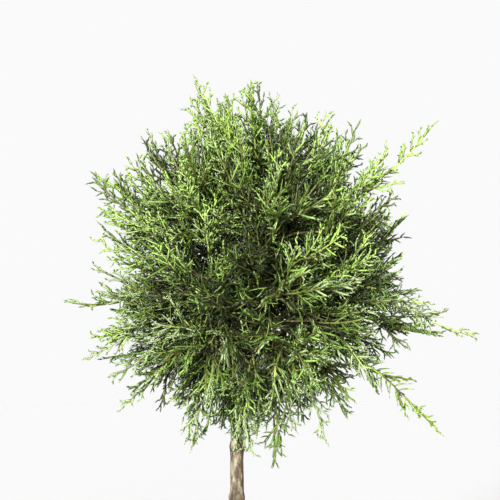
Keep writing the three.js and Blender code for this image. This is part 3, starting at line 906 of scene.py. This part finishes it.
def stem_mesh():
    share = np.linspace(0, 1, STEM_MESH.rings)
    angle = 2 * math.pi * np.arange(STEM_MESH.sides) / STEM_MESH.sides
    height = (TRUNK.height * share)[:, None]
    radius = (trunk_radius(share) + BARK_THICKNESS)[:, None] + 0 * angle
    ridges = wave_noise(angle * 5 + 3 * np.sin(height * 40), height * 55 + 0 * angle)
    grain = wave_noise(angle * 11, height * 420 + 2 * np.cos(angle * 3))
    radius = radius * (1 + STEM_MESH.ridges * ridges) + STEM_MESH.grain * grain
    for _, _, turn, place in pruned_shoots():
        away = np.angle(np.exp(1j * (angle - turn)))
        for mark in (KNOT, PIT):
            reach = ((height - place) / mark.height) ** 2 + (away / mark.width) ** 2
            radius = radius + mark.raised * np.exp(-reach)
    circle = np.stack((np.cos(angle), np.sin(angle), 0 * angle), axis=-1)
    ring = trunk_point(share)[:, None] + circle[None] * radius[..., None]
    ends = trunk_point([0, 1]) + np.array([(0, 0, 0), (0, 0, STEM_MESH.top)])
    return np.concatenate((ring.reshape(-1, 3), ends)), turned_faces(*radius.shape)


def scar_lines():
    """Dark hooked ridges under the pruned shoots: (points, radii) of each."""
    points, radii = [], []
    across = np.linspace(-1, 1, SCAR.rings + 1)
    for i, j, turn, height in pruned_shoots():
        angle = turn + (SCAR.half_width + SCAR.uneven * math.sin(4 * i + j)) * across
        hook = SCAR.hook * across**2 + SCAR.slant * math.cos(3 * i + 2 * j) * across
        share = (height - SCAR.below + hook) / TRUNK.height
        out = trunk_radius(share) + BARK_THICKNESS + SCAR.out - SCAR.ends_in * across**2
        around = np.stack((np.cos(angle), np.sin(angle), 0 * angle), axis=-1)
        points.append(trunk_point(share) + around * out[:, None])
        radii.append(SCAR.radius * np.sqrt(1.02 - across[:-1]**2))
    return np.array(points), np.array(radii)


piece("stem", *stem_mesh(), BARK, "bark", replaces=["trunk"])
piece("scars", *joined([tubes(*scar_lines(), SCAR.sides)]), SCAR_BARK, "bark")

BOUGH_MESH = Named(rings=16, sides=9, twist=0.1, wander=0.0004, uneven=0.04)
bough_points, bough_radii = [], []
for mass in MASSES:
    points = bezier(mass.root, mass.elbow, mass.tip, np.linspace(0, 1, BOUGH_MESH.rings + 1))
    wander = rng.normal(0, BOUGH_MESH.wander, points.shape)
    wander[[0, -1]] = 0
    uneven = 1 + rng.normal(0, BOUGH_MESH.uneven, BOUGH_MESH.rings)
    bough_points.append(points + wander)
    bough_radii.append(np.linspace(BOUGH.base_radius, BOUGH.tip_radius, BOUGH_MESH.rings) * uneven)
boughs = tubes(np.array(bough_points), np.array(bough_radii), BOUGH_MESH.sides, BOUGH_MESH.twist)
bough_nodes = [name for name in NODES if name.startswith("bough_")]
piece("boughs", *joined([boughs]), TWIG_BARK, "twig_bark", replaces=bough_nodes)


def thin_wood(lines, wander, radii, sides):
    """Tapered limbs along lines that wander a little between their ends."""
    for line in lines:
        line[1:-1] += rng.normal(0, wander, line[1:-1].shape)
    radii = np.tile(np.linspace(*radii, len(lines[0]) - 1), (len(lines), 1))
    return tubes(np.array(lines), radii, sides)


# The stems start a little inside their boughs.
THIN_WOOD = Named(rings=8, starts=-0.03, stem_wander=0.0008, stem_sides=7, twig_wander=0.0007, twig_sides=5)
stem_shares = np.linspace(THIN_WOOD.starts, 1, THIN_WOOD.rings + 1)[:, None]
stem_lines = [a + (b - a) * stem_shares for a, b in (mass.stem for mass in MASSES)]
stem_radii = (BOUGH.tip_radius, STEM.tip_radius)
stems = thin_wood(stem_lines, THIN_WOOD.stem_wander, stem_radii, THIN_WOOD.stem_sides)
twig_lines = [bezier(*twig.curve, np.linspace(0, 1, THIN_WOOD.rings + 1)) for twig in all_twigs]
twig_radii = (TWIG.base_radius, TWIG.tip_radius)
twigs = thin_wood(twig_lines, THIN_WOOD.twig_wander, twig_radii, THIN_WOOD.twig_sides)
piece("twigs", *joined([stems, twigs]), TWIG_BARK, "twig_bark", replaces=foliage_nodes)

# ---------------- pot and compost

POT = Named(
    height=POT_HIGH[2], base_radius=0.082, top_radius=0.110, rim_radius=POT_HIGH[0],
    rim_foot_radius=0.113, rim_height=0.040, wall=0.008, floor=0.011, bevel=0.003,
)
DRAIN = Named(count=4, radius=0.006, circle=0.044, sides=40)
SOIL = Named(dome=0.007, collar=0.024, shoulder_out=0.66, shoulder_drop=0.3)
POT_MESH = Named(step=0.0035, sides=168)
SOIL_MESH = Named(step=0.0016, sides=200)
# Heights of the relief on the clay and on the compost.
CLAY_RELIEF = Named(lines=0.00010, uneven=0.00035, dents=0.00016)
SOIL_RELIEF = Named(coarse=0.0011, fine=0.0007)


def wall_radius(z):
    return POT.base_radius + (POT.top_radius - POT.base_radius) * z / POT.height


def inner_radius(z):
    return wall_radius(z) - POT.wall


def rounded(profile, radius, steps=6):
    """A profile of (radius, height) with a short curve in place of each corner, within both sides."""
    profile = np.array(profile)
    points = [profile[0]]
    for before, corner, after in zip(profile, profile[1:], profile[2:]):
        back, on = before - corner, after - corner
        into = corner + unit(back) * min(radius, 0.45 * np.linalg.norm(back))
        out = corner + unit(on) * min(radius, 0.45 * np.linalg.norm(on))
        points += list(bezier(into, corner, out, np.linspace(0, 1, steps)))
    return np.array(points + [profile[-1]])


def spaced(points, step):
    """The same profile with more points, none further than a step from the next."""
    rows = [points[:1]]
    for a, b in zip(points, points[1:]):
        count = max(1, math.ceil(np.linalg.norm(b - a) / step))
        rows.append(a + (b - a) * (np.arange(1, count + 1) / count)[:, None])
    return np.concatenate(rows)


def turned(profile, sides, relief):
    """A profile from the axis back to the axis, turned round Z: vertices and triangles.

    relief(angle, radius, height) gives what is added to the radius and the height of each point.
    """
    ring, ends = profile[1:-1], profile[[0, -1]]
    angle = (2 * math.pi * np.arange(sides) / sides)[None]
    radius, height = ring[:, :1] + 0 * angle, ring[:, 1:] + 0 * angle
    out, up = relief(angle, radius, height)
    radius, height = radius + out, height + up
    points = np.stack((radius * np.cos(angle), radius * np.sin(angle), height), axis=-1)
    feet = [[0, 0, ends[0, 1]], [0, 0, ends[1, 1]]]
    return np.concatenate((points.reshape(-1, 3), feet)), turned_faces(len(ring), sides)


def clay_relief(angle, radius, height):
    """Turning lines, a slightly uneven wall and a few worn places."""
    lines = CLAY_RELIEF.lines * np.sin(height * 1900 + 0.6 * np.sin(2 * angle)) * (radius > 0.06)
    uneven = CLAY_RELIEF.uneven * wave_noise(2 * np.sin(angle) + 1.3, 30 * height + np.cos(angle))
    dents = CLAY_RELIEF.dents * wave_noise(9 * np.sin(angle + 0.4), 160 * height + 7 * np.cos(angle))
    return lines + uneven + dents, 0.5 * dents * (height > 0.001)


CLAY = Nodes("terracotta", 0.85, 0.25)
grain, clouds = CLAY.noise(420, 5), CLAY.noise(16, 5, roughness=0.65)
body = CLAY.ramp(clouds, (0.3, srgb(116, 66, 46)), (0.5, srgb(132, 78, 55)), (0.72, srgb(145, 93, 70)))
speck = CLAY.ramp(grain, (0.3, (0.72, 0.7, 0.68, 1)), (0.46, (1, 1, 1, 1)), (0.7, (1.0, 0.97, 0.94, 1)))
bloom = CLAY.ramp(CLAY.noise(34, 8, (1, 1, 0.7), 0.72), (0.56, (0, 0, 0, 1)), (0.72, (0.55, 0.55, 0.55, 1)))
CLAY.colour(CLAY.mix(bloom, CLAY.mix(1.0, body, speck, "MULTIPLY"), srgb(162, 134, 114)))
CLAY.bump(grain, 0.0004, 0.5)
CLAY.vary_roughness(clouds, 0.78, 0.95)

band_foot = POT.height - POT.rim_height
pot_profile = rounded([
    (0, 0),
    (POT.base_radius, 0),
    (wall_radius(band_foot), band_foot),
    (POT.rim_foot_radius, band_foot),
    (POT.rim_radius, POT.height),
    (inner_radius(POT.height), POT.height),
    (inner_radius(POT.floor), POT.floor),
    (0, POT.floor),
], POT.bevel)
pot_mesh = turned(spaced(pot_profile, POT_MESH.step), POT_MESH.sides, clay_relief)
clay_pot = piece("clay_pot", *pot_mesh, CLAY.material, "clay", replaces=["pot"])


def drill_holes(target):
    """Cuts the drain holes with a Boolean, applied to the mesh."""
    cutter_mesh = bpy.data.meshes.new("drill")
    drills = bmesh.new()
    for i in range(DRAIN.count):
        angle = 2 * math.pi * (i + 0.5) / DRAIN.count
        place = Matrix.Translation((DRAIN.circle * math.cos(angle), DRAIN.circle * math.sin(angle), 0))
        bmesh.ops.create_cone(
            drills, cap_ends=True, segments=DRAIN.sides, radius1=DRAIN.radius, radius2=DRAIN.radius,
            depth=3 * POT.floor, matrix=place,
        )
    drills.to_mesh(cutter_mesh)
    drills.free()
    cutter = placed("drill", cutter_mesh)
    cut = target.modifiers.new("drains", "BOOLEAN")
    cut.operation = "DIFFERENCE"
    cut.solver = "EXACT"
    cut.object = cutter
    made = bpy.data.meshes.new_from_object(target.evaluated_get(bpy.context.evaluated_depsgraph_get()))
    target.modifiers.clear()
    target.data = made
    bpy.data.objects.remove(cutter)


drill_holes(clay_pot)

COMPOST = Nodes("compost", 0.95, 0.15)
lumps = COMPOST.noise(260, 6, roughness=0.7)
COMPOST.colour(COMPOST.ramp(lumps, (0.3, srgb(28, 20, 14)), (0.5, srgb(58, 42, 30)), (0.7, srgb(96, 74, 54))))
COMPOST.bump(lumps, 0.0015, 1.0)
COMPOST.vary_roughness(lumps, 0.85, 1.0)

soil_top = SOIL_HIGH[2]
soil_edge = inner_radius(soil_top - SOIL.dome) - GAP
soil_foot = SOIL_LOW[2]
shoulder = SOIL.collar + (soil_edge - SOIL.collar) * SOIL.shoulder_out
soil_profile = np.array([
    (0, soil_foot),
    (inner_radius(soil_foot) - GAP, soil_foot),
    (soil_edge, soil_top - SOIL.dome),
    (shoulder, soil_top - SOIL.shoulder_drop * SOIL.dome),
    (SOIL.collar, soil_top),
    (0, soil_top),
])


def soil_height(x, y):
    """The compost's lumpy surface."""
    mound = np.interp(np.hypot(x, y), *soil_profile[:1:-1].T)
    coarse = SOIL_RELIEF.coarse * wave_noise(95 * x + 2, 95 * y + 40 * x)
    fine = SOIL_RELIEF.fine * wave_noise(420 * x - 160 * y, 390 * y + 130 * x + 5)
    return mound + coarse + fine


def soil_relief(angle, radius, height):
    """Brings the top of the compost to its lumpy surface, and leaves its side and foot."""
    surface = height > soil_top - SOIL.dome - 0.0001
    up = soil_height(radius * np.cos(angle), radius * np.sin(angle)) - height
    return 0 * radius, np.where(surface, up, 0)


soil_mesh = turned(spaced(soil_profile, SOIL_MESH.step), SOIL_MESH.sides, soil_relief)
piece("compost", *soil_mesh, COMPOST.material, "compost", replaces=["soil"])


# Most lumps are small. They keep clear of the stem and the pot, and lie a little sunk.
LUMP = Named(few_large=2.2, uneven=0.22, tilt=0.35, from_stem=0.006, from_pot=0.002, raised=0.25)


def scattered(count, sizes, stretch, seed):
    """Small angular lumps that lie on the compost, one icosahedron each, squeezed and turned."""
    chance = np.random.default_rng(seed)
    golden = (1 + math.sqrt(5)) / 2
    base = unit(np.array([
        (-1, golden, 0), (1, golden, 0), (-1, -golden, 0), (1, -golden, 0), (0, -1, golden), (0, 1, golden),
        (0, -1, -golden), (0, 1, -golden), (golden, 0, -1), (golden, 0, 1), (-golden, 0, -1), (-golden, 0, 1),
    ], float))
    faces = np.array([
        (0, 11, 5), (0, 5, 1), (0, 1, 7), (0, 7, 10), (0, 10, 11), (1, 5, 9), (5, 11, 4), (11, 10, 2),
        (10, 7, 6), (7, 1, 8), (3, 9, 4), (3, 4, 2), (3, 2, 6), (3, 6, 8), (3, 8, 9), (4, 9, 5),
        (2, 4, 11), (6, 2, 10), (8, 6, 7), (9, 8, 1),
    ])
    size = sizes[0] + (sizes[1] - sizes[0]) * chance.random(count) ** LUMP.few_large
    uneven = 1 + chance.uniform(-LUMP.uneven, LUMP.uneven, (count, len(base), 1))
    lump = base[None] * uneven * np.array(stretch) * size[:, None, None]
    turn = chance.uniform(0, 2 * math.pi, (count, 1)) + np.zeros(len(base))
    tilt = chance.normal(0, LUMP.tilt, (count, 1)) + np.zeros(len(base))
    lump = spun(spun(lump, np.array((0.0, 1.0, 0.0)), tilt), np.array((0.0, 0.0, 1.0)), turn)
    inside, outside = TRUNK.foot_radius + LUMP.from_stem, soil_edge - LUMP.from_pot
    away = np.sqrt(chance.uniform(inside**2, (outside - size * max(stretch)) ** 2))
    around = chance.uniform(0, 2 * math.pi, count)
    x, y = away * np.cos(around), away * np.sin(around)
    place = np.stack((x, y, soil_height(x, y) + LUMP.raised * size * stretch[2]), axis=-1)
    return lump + place[:, None], faces


def plain_stone(name, low, high):
    stone = Nodes(name, 0.9, 0.2)
    spots = stone.noise(700, 4)
    stone.colour(stone.ramp(spots, (0.3, low), (0.7, high)))
    stone.bump(spots, 0.0004, 0.7)
    return stone.material


BARK_CHIP = plain_stone("bark_chip", srgb(74, 50, 34), srgb(132, 98, 68))
PALE_GRIT = plain_stone("pale_grit", srgb(190, 184, 172), srgb(226, 222, 214))
# Name, count, smallest and largest size, stretch, material and seed of what lies on the compost.
LITTER = (
    ("crumbs", 2600, (0.0006, 0.0030), (1, 0.85, 0.7), COMPOST.material, 11),
    ("bark_chips", 170, (0.0016, 0.0048), (1.5, 0.7, 0.32), BARK_CHIP, 12),
    ("grit", 90, (0.0006, 0.0016), (1, 0.9, 0.8), PALE_GRIT, 13),
)
for name, count, sizes, stretch, material, seed in LITTER:
    piece(name, *joined([scattered(count, sizes, stretch, seed)]), material, "compost", smooth=False)

# ---------------- stage, light and camera

# Name, turn, elevation, width and strength of each light.
LIGHTS = (
    ("key", 250, 17, 11, 14.4),
    ("top", 290, 70, 24, 1.5),
    ("side", 318, 8, 20, 2.4),
    ("front", 274, 20, 18, 1.8),
    ("back_left", 135, 24, 26, 1.9),
    ("back_right", 50, 24, 26, 1.9),
)
LAMP_DISTANCE = 3
BACKDROP, BACKDROP_BLUE = 0.955, 0.96
AMBIENT, SKY = 0.05, (0.93, 0.96, 1.0, 1)
# The floor is lit as bright as the backdrop, so the two meet without an edge.
level_light = sum(light[4] * math.sin(math.radians(light[2])) for light in LIGHTS) / math.pi + AMBIENT
floor_shade = BACKDROP / level_light

FLOOR = Named(radius=6, sides=64, uneven=0.995)
floor = bpy.data.meshes.new("floor")
edge = [direction(360 * i / FLOOR.sides, 0) * FLOOR.radius for i in range(FLOOR.sides)]
floor.from_pydata(edge, [], [list(range(FLOOR.sides))])
floor_object = placed("floor", floor)
pale = Nodes("pale_floor", 1.0, 0.0)
white = shade((1, 1, 1), floor_shade)
pale.colour(pale.ramp(pale.noise(3, 2), (0.3, shade(white, FLOOR.uneven)), (0.7, white)))
floor.materials.append(pale.material)

scene = bpy.context.scene
world = bpy.data.worlds.new("studio")
scene.world = world
world.use_nodes = True
nodes = world.node_tree.nodes
behind = nodes["Background"]
behind.inputs["Color"].default_value = (BACKDROP, BACKDROP, BACKDROP_BLUE, 1)
around = nodes.new("ShaderNodeBackground")
around.inputs["Color"].default_value = SKY
around.inputs["Strength"].default_value = AMBIENT
seen = nodes.new("ShaderNodeLightPath")
choice = nodes.new("ShaderNodeMixShader")
link = world.node_tree.links.new
link(seen.outputs["Is Camera Ray"], choice.inputs[0])
link(around.outputs[0], choice.inputs[1])
link(behind.outputs[0], choice.inputs[2])
link(choice.outputs[0], nodes["World Output"].inputs[0])
scene.view_settings.view_transform = "Standard"


def soft_light(name, turn, elevation, width, strength):
    """A broad soft light that comes from a turn and an elevation, as wide in the sky as its angle."""
    light = bpy.data.lights.new(name, "SUN")
    light.angle = math.radians(width)
    light.energy = strength
    lamp = placed(name, light)
    lamp.location = Vector(direction(turn, elevation)) * LAMP_DISTANCE
    lamp.rotation_euler = (-lamp.location).to_track_quat("-Z", "Y").to_euler()


for light in LIGHTS:
    soft_light(*light)

# The camera looks level at the crown from the front, and sees this width of it.
VIEW_CENTRE, VIEW_DISTANCE, VIEW_WIDTH = np.array((0.014, 0.0, 0.794)), 1.8, 0.6
camera = bpy.data.cameras.new("camera")
camera.sensor_width = 36
camera.lens = camera.sensor_width * VIEW_DISTANCE / VIEW_WIDTH
camera_object = placed("camera", camera)
camera_object.location = VIEW_CENTRE + direction(-90, 0) * VIEW_DISTANCE
camera_object.rotation_euler = (math.pi / 2, 0, 0)
scene.camera = camera_object
